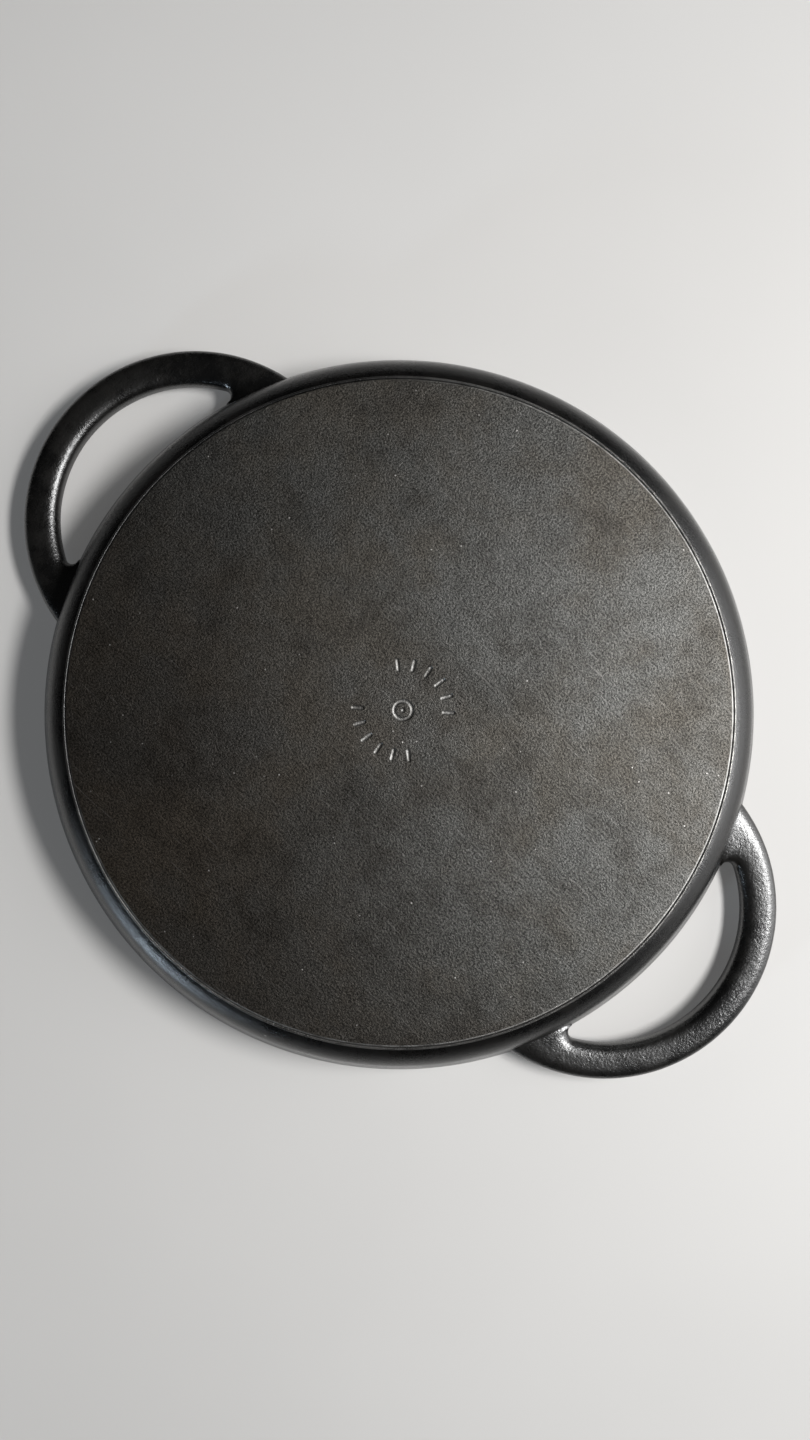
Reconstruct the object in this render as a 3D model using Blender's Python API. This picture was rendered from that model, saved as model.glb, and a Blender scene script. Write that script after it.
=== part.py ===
# A round cast-iron grill pan with two loop handles, lying upside down on its rim.
# The real pan is one casting. It is divided here along the lines of its own features:
# the floor, the flared side wall, the two handles and the ribs of the cooking face.
# The origin is on the surface that the rim stands on, under the middle of the pan.
# +X runs along the line of the two handles, +Y across it, and +Z up to the underside.
# All sizes are in metres, and all angles in radians.

import math

import bmesh
import bpy
from mathutils import Matrix, Vector

# Bowl
RIM_RADIUS = 0.150
PAN_HEIGHT = 0.030
WALL_THICKNESS = 0.0042
FLOOR_THICKNESS = 0.0045
SHOULDER_RADIUS = 0.013
SHOULDER_START_SLOPE = math.radians(15)
INNER_CORNER_RADIUS = 0.009
RIM_OUTER_ROUND = 0.0018
RIM_INNER_ROUND = 0.0010

# Bead that edges the underside, and the fine groove inside it
BEAD_SET_IN = 0.0165
BEAD_WIDTH = 0.0011
BEAD_HEIGHT = 0.0005
BEAD_CREST_ROUND = 0.00045
GROOVE_WIDTH = 0.0009
GROOVE_DEPTH = 0.0006
UNDERSIDE_EDGE_ROUND = 0.0005

# Loop handles
HANDLE_REACH = 0.0381
HANDLE_OUTER_ARC = 0.0715
HANDLE_WIDTH = 0.0134
HANDLE_THICKNESS = 0.011
HANDLE_LIFT = 0.0015
FINGER_GAP_ARC = 0.0562
FINGER_GAP_CORNER = 0.0035

# Ribs of the cooking face
RIBS_EACH_SIDE = 8
END_RIB_SET_IN = 0.0073
RIB_HEIGHT = 0.0045
RIB_ROOT_WIDTH = 0.006
RIB_CROWN_WIDTH = 0.0034
RIB_CROWN_ROUND = 0.0012
RIB_END_SLOPE = math.radians(40)
DRIP_CHANNEL_WIDTH = 0.010

# Clearance between two divided pieces, and how far a handle runs on before it is trimmed
JOINT_GAP = 0.0003
UNTRIMMED_ROOT = 0.006

# Fineness of the curves
TURN_SEGMENTS = 96
CURVE_TOLERANCE = 0.00004
LOOP_STATIONS = 12
CORNER_STATIONS = 6
SECTION_POINTS = 16
SECTION_SQUARENESS = 2.4
MERGE_DISTANCE = 0.000001
SHARP_ANGLE = math.radians(35)

# Finishes: colour, and roughness
UNDERSIDE_FINISH = ((0.030, 0.028, 0.026, 1.0), 0.78)
WALL_FINISH = ((0.016, 0.016, 0.016, 1.0), 0.42)
HANDLE_FINISH = ((0.018, 0.017, 0.017, 1.0), 0.45)
RIB_FINISH = ((0.022, 0.021, 0.020, 1.0), 0.55)


# Outlines in the plane of a section: x is the distance from the axis, y is the height

def rounded_path(corners):
    """Points along straight lines from corner to corner, each corner rounded to its radius."""
    path = []
    for index, (x, y, radius) in enumerate(corners):
        corner = Vector((x, y))
        if radius == 0.0:
            path.append(corner)
            continue
        back = (Vector(corners[index - 1][:2]) - corner).normalized()
        onward = (Vector(corners[index + 1][:2]) - corner).normalized()
        half_opening = back.angle(onward) / 2
        centre = corner + (back + onward).normalized() * (radius / math.sin(half_opening))
        spoke = corner + back * (radius / math.tan(half_opening)) - centre
        turn = math.pi - 2 * half_opening
        if onward.x * back.y < onward.y * back.x:
            turn = -turn
        path.extend(arc_points(centre, spoke, turn))
    return path


def arc_points(centre, spoke, turn):
    """Points of an arc that starts at the end of a spoke and turns round its centre."""
    widest_step = 2 * math.acos(1 - CURVE_TOLERANCE / spoke.length)
    steps = max(2, math.ceil(abs(turn) / widest_step))
    return [centre + Matrix.Rotation(turn * step / steps, 2) @ spoke for step in range(steps + 1)]


def point_at_height(line, height):
    """The point of a slanting line, given as a point and a direction, at a height."""
    point, direction = line
    return point + direction * ((height - point.y) / direction.y)


def between_radii(path, nearest, farthest):
    """The stretch of a path that lies between two distances from the axis."""
    kept = []
    for start, end in zip(path, path[1:]):
        low, high = sorted((start.x, end.x))
        if high < nearest or low > farthest:
            continue
        for point in (start, end):
            limit = min(max(point.x, nearest), farthest)
            if limit != point.x:
                point = start.lerp(end, (limit - start.x) / (end.x - start.x))
            if not kept or (kept[-1] - point).length > MERGE_DISTANCE:
                kept.append(point)
    return kept


def bead_radius():
    """Distance from the axis to the crest of the bead."""
    return RIM_RADIUS - BEAD_SET_IN


def seam_radius():
    """Edge of the floor, in the bottom of the groove inside the bead."""
    return bead_radius() - (BEAD_WIDTH + GROOVE_WIDTH + JOINT_GAP) / 2


def shoulder_start():
    """The spoke of the shoulder's rounding that ends at the bead's foot, where it slopes already."""
    slope = SHOULDER_START_SLOPE
    return Vector((math.sin(slope), math.cos(slope))) * SHOULDER_RADIUS


def shoulder_centre():
    """Centre of the rounding between the bead and the wall."""
    bead_foot = Vector((bead_radius() + BEAD_WIDTH / 2, PAN_HEIGHT - BEAD_HEIGHT))
    return bead_foot - shoulder_start()


def wall_facing():
    """The direction that the wall's outer side faces: it is a tangent of shoulder and rim."""
    rim_centre = Vector((RIM_RADIUS - RIM_OUTER_ROUND, RIM_OUTER_ROUND))
    down = rim_centre - shoulder_centre()
    lean = math.acos((SHOULDER_RADIUS - RIM_OUTER_ROUND) / down.length)
    angle = math.atan2(down.y, down.x) + lean
    return Vector((math.cos(angle), math.sin(angle)))


def outer_wall_line():
    """The straight flare of the wall's outer side: a point of it, and its rise."""
    facing = wall_facing()
    point = shoulder_centre() + facing * SHOULDER_RADIUS
    return point, Vector((-facing.y, facing.x))


def inner_wall_line():
    """The inner side of the wall, a wall's thickness in from its outer side."""
    point, rise = outer_wall_line()
    return point - wall_facing() * WALL_THICKNESS, rise


def cooking_face_height():
    """Height of the cooking face, which looks down here."""
    return PAN_HEIGHT - FLOOR_THICKNESS


def outside_path():
    """The casting's outside: underside, groove, bead, shoulder and wall, from axis to rim."""
    bead_inner = bead_radius() - BEAD_WIDTH / 2
    bead_outer = bead_radius() + BEAD_WIDTH / 2
    groove_inner = bead_inner - GROOVE_WIDTH
    groove_floor = PAN_HEIGHT - GROOVE_DEPTH
    bead_foot = PAN_HEIGHT - BEAD_HEIGHT
    crest_round = min(BEAD_CREST_ROUND, BEAD_WIDTH / 2, BEAD_HEIGHT, GROOVE_DEPTH)
    edge_round = min(UNDERSIDE_EDGE_ROUND, GROOVE_DEPTH)
    start = shoulder_start()
    shoulder = arc_points(shoulder_centre(), start, -start.angle(wall_facing()))
    rim_corner = point_at_height(outer_wall_line(), 0.0)
    corners = [(0.0, PAN_HEIGHT, 0.0)]
    corners.append((groove_inner, PAN_HEIGHT, edge_round))
    corners.append((groove_inner, groove_floor, 0.0))
    corners.append((bead_inner, groove_floor, 0.0))
    corners.append((bead_inner, PAN_HEIGHT, crest_round))
    corners.append((bead_outer, PAN_HEIGHT, crest_round))
    corners.append((bead_outer, bead_foot, 0.0))
    corners.extend((point.x, point.y, 0.0) for point in shoulder[1:])
    corners.append((rim_corner.x, 0.0, RIM_OUTER_ROUND))
    corners.append((point_at_height(inner_wall_line(), 0.0).x, 0.0, 0.0))
    return rounded_path(corners)[:-1]


def inside_path():
    """The casting's inside: rim, wall, rounded corner and cooking face, from rim to axis."""
    rim = point_at_height(inner_wall_line(), 0.0)
    corner = point_at_height(inner_wall_line(), cooking_face_height())
    corners = [(RIM_RADIUS, 0.0, 0.0)]
    corners.append((rim.x, rim.y, RIM_INNER_ROUND))
    corners.append((corner.x, corner.y, INNER_CORNER_RADIUS))
    corners.append((0.0, cooking_face_height(), 0.0))
    return rounded_path(corners)[1:]


def cooking_face_radius():
    """Where the flat cooking face ends and the rounded corner to the wall starts."""
    return inside_path()[-2].x


# Making meshes and objects

def iron(name, finish):
    """A cast-iron finish."""
    colour, roughness = finish
    material = bpy.data.materials.new(name)
    material.use_nodes = True
    shader = material.node_tree.nodes["Principled BSDF"]
    shader.inputs["Base Color"].default_value = colour
    shader.inputs["Roughness"].default_value = roughness
    shader.inputs["Metallic"].default_value = 0.0
    return material


def mesh_from(name, shape):
    """A smooth-shaded mesh from an edited shape, with its faces pointing out."""
    bmesh.ops.recalc_face_normals(shape, faces=shape.faces)
    mesh = bpy.data.meshes.new(name)
    shape.to_mesh(mesh)
    shape.free()
    mesh.shade_smooth()
    mesh.set_sharp_from_angle(angle=SHARP_ANGLE)
    return mesh


def add_piece(name, mesh, material, pan):
    """An object of the pan, with its own place and material."""
    piece = bpy.data.objects.new(name, mesh)
    bpy.context.scene.collection.objects.link(piece)
    piece.parent = pan
    if not mesh.materials:
        mesh.materials.append(material)
    return piece


def turned_mesh(name, outline, closed):
    """A solid of revolution, spun once round the Z axis from its outline at +X."""
    shape = bmesh.new()
    corners = [shape.verts.new((point.x, 0.0, point.y)) for point in outline]
    ends = corners[1:] + corners[:1] if closed else corners[1:]
    edges = [shape.edges.new(pair) for pair in zip(corners, ends)]
    bmesh.ops.spin(
        shape, geom=corners + edges, cent=(0, 0, 0), axis=(0, 0, 1),
        angle=math.tau, steps=TURN_SEGMENTS, use_duplicate=False)
    bmesh.ops.remove_doubles(shape, verts=shape.verts, dist=MERGE_DISTANCE)
    return mesh_from(name, shape)


# Pan floor and side wall, parted at the seam in the groove

def add_floor(pan):
    """The round floor: its underside is the flat face that stands on the stove."""
    upper = between_radii(outside_path(), 0.0, seam_radius())
    lower = between_radii(inside_path(), 0.0, seam_radius())
    mesh = turned_mesh("pan_floor", upper + lower, closed=False)
    return add_piece("pan_floor", mesh, iron("underside_iron", UNDERSIDE_FINISH), pan)


def add_side_wall(pan):
    """The flared wall, with the bead, the rounded shoulder and the rim that it stands on."""
    inner_edge = seam_radius() + JOINT_GAP
    outer = between_radii(outside_path(), inner_edge, RIM_RADIUS)
    inner = between_radii(inside_path(), inner_edge, RIM_RADIUS)
    mesh = turned_mesh("side_wall", outer + inner, closed=True)
    return add_piece("side_wall", mesh, iron("wall_iron", WALL_FINISH), pan)


# Loop handles

def circles_meet(radius, other_radius, other_x):
    """The point at +Y where a circle round the axis meets one whose centre is on +X."""
    x = (radius ** 2 - other_radius ** 2 + other_x ** 2) / (2 * other_x)
    return Vector((x, math.sqrt(radius ** 2 - x ** 2)))


def ray_to_circle(start_x, angle, centre_x, radius):
    """The point where a ray from a place on +X meets a circle round another place on +X."""
    offset = start_x - centre_x
    reach = math.sqrt(radius ** 2 - (offset * math.sin(angle)) ** 2) - offset * math.cos(angle)
    return Vector((start_x + reach * math.cos(angle), reach * math.sin(angle)))


def on_circle(centre_x, radius, angle):
    """The point at an angle on a circle whose centre is on +X."""
    return Vector((centre_x + radius * math.cos(angle), radius * math.sin(angle)))


def outer_arc_centre():
    """Where on +X the arc of the handle's outer edge has its centre."""
    return RIM_RADIUS + HANDLE_REACH - HANDLE_OUTER_ARC


def finger_gap_centre():
    """Where on +X the arc of the finger gap has its centre."""
    return RIM_RADIUS + HANDLE_REACH - HANDLE_WIDTH - FINGER_GAP_ARC


def wall_radius_at_handle():
    """The wall's outer radius at the height of the handle's middle."""
    return point_at_height(outer_wall_line(), HANDLE_LIFT + HANDLE_THICKNESS / 2).x


def gap_corner_centre():
    """Centre of the rounding between the finger gap's arc and the wall, at +Y."""
    from_axis = wall_radius_at_handle() + FINGER_GAP_CORNER
    return circles_meet(from_axis, FINGER_GAP_ARC - FINGER_GAP_CORNER, finger_gap_centre())


def grip_edges():
    """Inner and outer edge points round the grip, from its tip to the gap's corner at +Y."""
    gap_centre = finger_gap_centre()
    corner = gap_corner_centre()
    grip_end = math.atan2(corner.y, corner.x - gap_centre)
    pairs = []
    for station in range(LOOP_STATIONS + 1):
        angle = grip_end * station / LOOP_STATIONS
        outer = ray_to_circle(gap_centre, angle, outer_arc_centre(), HANDLE_OUTER_ARC)
        pairs.append((on_circle(gap_centre, FINGER_GAP_ARC, angle), outer))
    return pairs


def root_edges(grip_end):
    """Inner and outer edge points from the end of the grip, round the corner, into the wall."""
    outer_centre = outer_arc_centre()
    corner = gap_corner_centre()
    root_radius = wall_radius_at_handle() - UNTRIMMED_ROOT
    root = circles_meet(root_radius, HANDLE_OUTER_ARC, outer_centre)
    inner_end, outer_end = grip_end
    start_angle = math.atan2(outer_end.y, outer_end.x - outer_centre)
    root_angle = math.atan2(root.y, root.x - outer_centre)
    spoke = inner_end - corner
    corner_turn = math.pi + math.atan2(corner.y, corner.x) - math.atan2(spoke.y, spoke.x)
    pairs = []
    for station in range(1, CORNER_STATIONS + 1):
        inner = corner + Matrix.Rotation(corner_turn * station / CORNER_STATIONS, 2) @ spoke
        share = station / (CORNER_STATIONS + 1)
        angle = start_angle + (root_angle - start_angle) * share
        pairs.append((inner, on_circle(outer_centre, HANDLE_OUTER_ARC, angle)))
    pairs.append((corner.normalized() * root_radius, root))
    return pairs


def handle_section(inner, outer):
    """A rounded section between an inner and an outer edge point of the loop."""
    middle_height = HANDLE_LIFT + HANDLE_THICKNESS / 2
    points = []
    for index in range(SECTION_POINTS):
        angle = math.tau * index / SECTION_POINTS
        across = math.copysign(abs(math.cos(angle)) ** (2 / SECTION_SQUARENESS), math.cos(angle))
        upward = math.copysign(abs(math.sin(angle)) ** (2 / SECTION_SQUARENESS), math.sin(angle))
        place = inner.lerp(outer, (1 + across) / 2)
        points.append((place.x, place.y, middle_height + upward * HANDLE_THICKNESS / 2))
    return points


def handle_mesh():
    """The loop at +X, lofted through its sections from root to root."""
    grip = grip_edges()
    half = grip + root_edges(grip[-1])
    mirrored = [(inner * Vector((1, -1)), outer * Vector((1, -1))) for inner, outer in half[:0:-1]]
    shape = bmesh.new()
    rings = []
    for inner, outer in mirrored + half:
        rings.append([shape.verts.new(point) for point in handle_section(inner, outer)])
    for ring, following in zip(rings, rings[1:]):
        for index in range(SECTION_POINTS):
            onward = (index + 1) % SECTION_POINTS
            shape.faces.new((ring[index], ring[onward], following[onward], following[index]))
    shape.faces.new(rings[0])
    shape.faces.new(rings[-1])
    return mesh_from("loop_handle", shape)


def add_wall_cutter(pan):
    """A cone a joint's gap outside the wall, which trims the roots of the handles."""
    point, rise = outer_wall_line()
    line = (point + wall_facing() * JOINT_GAP, rise)
    shape = bmesh.new()
    bmesh.ops.create_cone(
        shape, cap_ends=True, segments=TURN_SEGMENTS, depth=PAN_HEIGHT,
        radius1=point_at_height(line, 0.0).x, radius2=point_at_height(line, PAN_HEIGHT).x)
    mesh = mesh_from("wall_cutter", shape)
    cutter = add_piece("wall_cutter", mesh, iron("guide", WALL_FINISH), pan)
    cutter.location.z = PAN_HEIGHT / 2
    cutter.hide_render = True
    cutter.display_type = "WIRE"
    return cutter


def add_handles(pan):
    """Two loop handles, low on the wall beside the rim, each trimmed to the wall's flare."""
    cutter = add_wall_cutter(pan)
    mesh = handle_mesh()
    finish = iron("handle_iron", HANDLE_FINISH)
    for name, turn in (("handle_right", 0.0), ("handle_left", math.pi)):
        handle = add_piece(name, mesh, finish, pan)
        handle.rotation_euler.z = turn
        trim = handle.modifiers.new("trim_to_wall", "BOOLEAN")
        trim.operation = "DIFFERENCE"
        trim.solver = "EXACT"
        trim.object = cutter


# Ribs

def rib_outline():
    """Half width across and depth below the cooking face, round a tapered, rounded rib."""
    taper = (RIB_ROOT_WIDTH - RIB_CROWN_WIDTH) / 2 / RIB_HEIGHT
    top_half = RIB_ROOT_WIDTH / 2 - taper * JOINT_GAP
    crown_half = RIB_CROWN_WIDTH / 2
    corners = [(-top_half, JOINT_GAP, 0.0)]
    corners.append((-crown_half, RIB_HEIGHT, RIB_CROWN_ROUND))
    corners.append((crown_half, RIB_HEIGHT, RIB_CROWN_ROUND))
    corners.append((top_half, JOINT_GAP, 0.0))
    return rounded_path(corners)


def rib_mesh(name, half_length):
    """One rib along Y, hanging from the cooking face, with ends that slope to its crown."""
    shape = bmesh.new()
    ends = []
    for side in (-1, 1):
        ring = []
        for point in rib_outline():
            reach = half_length - (point.y - JOINT_GAP) * math.tan(RIB_END_SLOPE)
            ring.append(shape.verts.new((point.x, side * reach, -point.y)))
        ends.append(ring)
    near, far = ends
    count = len(near)
    for index in range(count):
        onward = (index + 1) % count
        shape.faces.new((near[index], near[onward], far[onward], far[index]))
    shape.faces.new(near)
    shape.faces.new(far)
    return mesh_from(name, shape)


def add_ribs(pan):
    """A middle rib and as many on each side at an even pitch, cut to the drip channel's round."""
    finish = iron("rib_iron", RIB_FINISH)
    field_radius = cooking_face_radius() - DRIP_CHANNEL_WIDTH
    pitch = (field_radius - END_RIB_SET_IN) / RIBS_EACH_SIDE
    for index in range(-RIBS_EACH_SIDE, RIBS_EACH_SIDE + 1):
        name = f"grill_rib_{index + RIBS_EACH_SIDE + 1:02d}"
        place = index * pitch
        farthest_side = abs(place) + RIB_ROOT_WIDTH / 2
        half_length = math.sqrt(field_radius ** 2 - farthest_side ** 2)
        rib = add_piece(name, rib_mesh(name, half_length), finish, pan)
        rib.location = (place, 0.0, cooking_face_height())


def main():
    """Clear the scene and build the pan."""
    for existing in list(bpy.data.objects):
        bpy.data.objects.remove(existing)
    pan = bpy.data.objects.new("grill_pan", None)
    bpy.context.scene.collection.objects.link(pan)
    add_floor(pan)
    add_side_wall(pan)
    add_handles(pan)
    add_ribs(pan)


main()
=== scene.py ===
# The finished surfaces of a round cast-iron grill pan that lies upside down on its rim.
# It is laid out as an add-on: each piece has an operator, and a panel in the sidebar lists them.
# Sizes are in metres and angles in radians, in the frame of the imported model.

import math

import bmesh
import bpy
from bpy.props import FloatProperty, FloatVectorProperty, IntProperty, PointerProperty
from bpy.types import Operator, Panel, PropertyGroup
from mathutils import Matrix, Vector


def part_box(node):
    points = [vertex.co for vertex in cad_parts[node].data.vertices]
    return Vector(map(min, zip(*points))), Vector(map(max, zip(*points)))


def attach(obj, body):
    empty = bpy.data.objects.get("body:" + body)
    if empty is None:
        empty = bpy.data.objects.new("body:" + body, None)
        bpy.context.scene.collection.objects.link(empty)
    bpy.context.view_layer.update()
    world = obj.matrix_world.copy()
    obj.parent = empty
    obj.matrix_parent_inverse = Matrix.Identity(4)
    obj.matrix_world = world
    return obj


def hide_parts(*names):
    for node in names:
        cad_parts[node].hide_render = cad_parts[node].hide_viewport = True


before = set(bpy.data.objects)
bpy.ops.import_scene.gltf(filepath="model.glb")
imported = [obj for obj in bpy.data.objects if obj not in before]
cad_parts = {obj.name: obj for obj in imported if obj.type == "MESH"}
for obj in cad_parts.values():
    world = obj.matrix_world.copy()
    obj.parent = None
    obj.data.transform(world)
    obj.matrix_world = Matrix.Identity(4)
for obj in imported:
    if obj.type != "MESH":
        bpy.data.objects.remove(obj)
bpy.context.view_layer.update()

bl_info = {
    "name": "Cast Iron Grill Pan",
    "version": (1, 0, 0),
    "blender": (4, 5, 0),
    "location": "View3D > Sidebar > Grill Pan",
    "description": "Models the finished surfaces of a cast-iron grill pan and a plain studio for it",
    "category": "Object",
}

# Places that come from the frame
FLOOR_LOW, FLOOR_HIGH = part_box("pan_floor")
WALL_LOW, WALL_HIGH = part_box("side_wall")
HANDLE_LOW, HANDLE_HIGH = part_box("handle_right")
RIB_NODES = sorted(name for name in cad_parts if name.startswith("grill_rib"))
RIB_LOW, RIB_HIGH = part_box(RIB_NODES[len(RIB_NODES) // 2])
JOINT_GAP = 0.0003

# Fineness of the meshes
TURN_STEPS = 480
FLOOR_EDGE_POINTS = 768
LIP_RINGS = 4
ARC_STEP = math.radians(5)
SHOULDER_STEP = math.radians(2.5)
EDGE_STEPS = 6
WALL_STEPS = 12
SECTION_POINTS = 64
SECTION_SQUARENESS = 2.9
GRIP_STATIONS = 44
CORNER_STATIONS = 40
ROOT_STATIONS = 10
RIB_LENGTH_STEPS = 48
RIB_ROUND_STEPS = 5
RIB_END_ZONE = 0.012
MERGE_DISTANCE = 0.000002
SHARP_ANGLE = math.radians(38)

# Directions round the pan's axis: where its edges are worn least and kept dark as painted shade,
# away from the lamp, and towards which the underside is tinted darker and warmer
UNWORN_SHADED_SIDE = math.radians(183)
DARKER_WARMER_SIDE = math.radians(250)

# Where wear begins and where it is full: below the underside's level, out from the edge's
# start, below the bead's crest, and above the rim. The bead's band is also a painted highlight on the
# lamp's side.
EDGE_WEAR_DROP = (0.00010, 0.00024)
EDGE_WEAR_RUN = (0.0, 0.00025)
BEAD_RUB_AND_HIGHLIGHT_DROP = (0.00045, 0.0001)
RIM_WEAR_HEIGHT = (0.0022, 0.0004)

# Fineness of the iron's patterns, in cells to a metre
UNDERSIDE_GRAIN = 1200.0
UNDERSIDE_MOTTLE = 150.0
UNDERSIDE_PATCHES = 19.0
UNDERSIDE_NICKS = 520.0
UNDERSIDE_SCRATCHES = 38.0
WALL_PEEL = 1900.0
HANDLE_PEEL = 950.0
SATIN_PATCHES = 40.0
SATIN_NICKS = 300.0
COOKING_GRAIN = 700.0
COOKING_PATCHES = 20.0
WEAR_BREAKS = 160.0

# Heights that the bump patterns stand for
UNDERSIDE_BUMP = 0.00020
WALL_BUMP = 0.00012
HANDLE_BUMP = 0.00016
COOKING_BUMP = 0.00030

# Stage: the disc under the pan, and how high above the horizon the backdrop is mirrored
FLOOR_DISC = 0.5
MIRRORED_BAND = 0.12


# Settings that a user would change

def length(name, description, default):
    """A length in metres, shown in the scene's unit."""
    return FloatProperty(
        name=name, description=description, default=default,
        unit="LENGTH", subtype="DISTANCE", precision=5, min=0.0)


def angle(name, description, default):
    """An angle, shown in degrees."""
    return FloatProperty(
        name=name, description=description, default=default, unit="ROTATION", subtype="ANGLE")


def amount(name, description, default):
    """A plain number that has no unit."""
    return FloatProperty(name=name, description=description, default=default)


def colour(name, description, default):
    """A linear colour."""
    return FloatVectorProperty(
        name=name, description=description, default=default,
        subtype="COLOR", size=3, min=0.0, max=1.0)


class BodySizes(PropertyGroup):
    """Sizes of the pan's floor and side wall."""

    rim_radius: length("Rim radius", "Outer radius of the rim", WALL_HIGH.x)
    height: length("Height", "From the rim to the underside", WALL_HIGH.z)
    seam_radius: length("Seam radius", "Where floor and wall meet", FLOOR_HIGH.x + JOINT_GAP)
    face_height: length("Cooking face height", "Height of the cooking face", RIB_HIGH.z + JOINT_GAP)
    wall_thickness: length("Wall thickness", "Thickness of the side wall", 0.0042)
    shoulder_radius: length("Shoulder radius", "Rounding from underside to wall", 0.013)
    shoulder_start: angle("Shoulder start", "Slope at which the shoulder leaves the bead",
                          math.radians(15))
    corner_radius: length("Corner radius", "Rounding from cooking face to wall", 0.009)
    rim_outer_round: length("Rim outer round", "Rounding of the rim's outer edge", 0.0018)
    rim_inner_round: length("Rim inner round", "Rounding of the rim's inner edge", 0.0010)
    bead_radius: length("Bead radius", "From the axis to the bead's crest", 0.1335)
    bead_width: length("Bead width", "Width of the bead round the underside", 0.0011)
    bead_height: length("Bead height", "Height of the bead above the shoulder", 0.0005)
    bead_round: length("Bead round", "Rounding of the bead's crest", 0.00045)
    groove_depth: length("Groove depth", "Depth of the groove inside the bead", 0.00045)
    edge_round: length("Edge round", "Rounding of the underside's edge at the groove", 0.0024)
    edge_run: length("Edge run", "Width of that rounding, up to the seam in the groove", 0.0006)
    ripple_height: length("Ripple height", "Height of the faint rings on the shoulder", 0.000045)
    ripple_length: length("Ripple length", "From one of these rings to the next", 0.0044)
    swell_height: length("Swell height", "Height of the faint waves of a sand casting", 0.00010)
    swell_size: length("Swell size", "Size of the faint waves of a sand casting", 0.022)
    grain_height: length("Grain height", "Height of the coarse grain of the underside", 0.00006)
    grain_size: length("Grain size", "Size of the coarse grain of the underside", 0.0028)


class HandleSizes(PropertyGroup):
    """Sizes of the two loop handles."""

    tip: length("Tip", "From the pan's axis to the end of a handle", HANDLE_HIGH.x + 0.0004)
    bottom: length("Bottom", "Lowest point of a handle", HANDLE_LOW.z)
    thickness: length("Thickness", "Height of a handle's section", HANDLE_HIGH.z - HANDLE_LOW.z)
    width: length("Width", "Width of a handle at its tip", 0.0138)
    inner_fall: length("Inner fall", "How much lower the top lies at a handle's inner edge", 0.0009)
    outer_arc: length("Outer arc", "Radius of a handle's outer edge", 0.0715)
    gap_arc: length("Gap arc", "Radius of the finger gap's outer edge", 0.0562)
    gap_corner: length("Gap corner", "Rounding in the corners of the finger gap", 0.0035)
    root_fillet: length("Root fillet", "Fillet where a handle's top runs up the wall", 0.0010)
    root_depth: length("Root depth", "How deep a handle's root sits in the wall", 0.0018)
    swell_height: length("Swell height", "Height of the uneven waves of a handle", 0.00010)
    swell_size: length("Swell size", "Size of the uneven waves of a handle", 0.011)


class RibSizes(PropertyGroup):
    """Sizes of the ribs of the cooking face."""

    root_width: length("Root width", "Width of a rib at the cooking face", 0.006)
    crown_width: length("Crown width", "Width of a rib at its crown", 0.0034)
    crown_round: length("Crown round", "Rounding of a rib's crown", 0.0012)
    end_slope: angle("End slope", "Slope of a rib's ends", math.radians(40))
    end_round: length("End round", "Rounding of a rib's corners, seen from below", 0.0028)
    root_fillet: length("Root fillet", "Fillet between a rib and the cooking face", 0.0012)
    root_depth: length("Root depth", "How deep a rib's root sits in the floor", 0.0004)


class MarkSizes(PropertyGroup):
    """Sizes of the plain mark that is sunk into the middle of the underside."""

    centre_x: length("Centre X", "How far the mark sits off the pan's axis along X", 0.0010)
    centre_y: length("Centre Y", "How far the mark sits off the pan's axis along Y", 0.0015)
    ring_radius: length("Ring radius", "From the mark's middle to the middle of its bars", 0.0181)
    bar_length: length("Bar length", "Length of a bar", 0.0056)
    stroke_width: length("Stroke width", "Width of the strokes", 0.0019)
    depth: length("Depth", "Depth of the strokes", 0.0007)
    bars: IntProperty(name="Bars", description="Bars in each of the two arcs", default=6, min=2)
    bar_pitch: angle("Bar pitch", "Angle from bar to bar", math.radians(20))
    eye_radius: length("Eye radius", "Radius of the small ring in the middle", 0.0036)


class IronColours(PropertyGroup):
    """Colours and roughness of the iron."""

    warm_iron: colour("Warm iron", "Brown-black iron of the underside", (0.075, 0.067, 0.058))
    cool_iron: colour("Cool iron", "Grey iron where the underside is rubbed", (0.081, 0.078, 0.074))
    burnt_iron: colour("Burnt iron", "Darker patches of baked oil", (0.042, 0.038, 0.034))
    # Tints of a broad change across the underside: darker and warmer towards one side
    lighter_side_tint: colour("Open tint", "Tint of the side that is baked least", (0.975, 1.0, 1.0))
    darker_side_tint: colour("Baked tint", "Tint of the side that is baked most", (0.66, 0.62, 0.575))
    bright_iron: colour("Bright iron", "Bare metal of nicks and scratches", (0.46, 0.44, 0.42))
    bare_edge: colour("Bare edge", "Metal where an edge is worn bare", (0.26, 0.255, 0.245))
    satin_black: colour("Satin black", "Seasoned black of wall and handles", (0.0008, 0.0008, 0.0008))
    worn_black: colour("Worn black", "Brownish black of the wall", (0.0028, 0.0024, 0.0021))
    # Lighter brown-black patches on the handles: partly worn iron, partly a painted sheen
    worn_handle_and_sheen: colour("Worn handle", "Brownish black where it is handled", (0.0065, 0.0060, 0.0053))
    # Grey of rubbed metal, made lighter to stand in for the lamp's highlight on the bead: wear and
    # painted highlight
    rubbed_edge_and_highlight: colour("Rubbed edge", "Edges that are rubbed grey", (0.165, 0.161, 0.154))
    cooking_black: colour("Cooking black", "Baked oil of the inside", (0.020, 0.018, 0.016))
    underside_roughness: amount("Underside roughness", "Roughness of the underside", 0.50)
    wall_roughness: amount("Wall roughness", "Roughness of the wall", 0.28)
    handle_roughness: amount("Handle roughness", "Roughness of the handles", 0.27)
    wall_gloss: amount("Wall gloss", "Specular level of the wall", 0.54)
    handle_gloss: amount("Handle gloss", "Specular level of the handles", 0.95)
    cooking_roughness: amount("Cooking roughness", "Roughness of the inside", 0.46)


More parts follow.
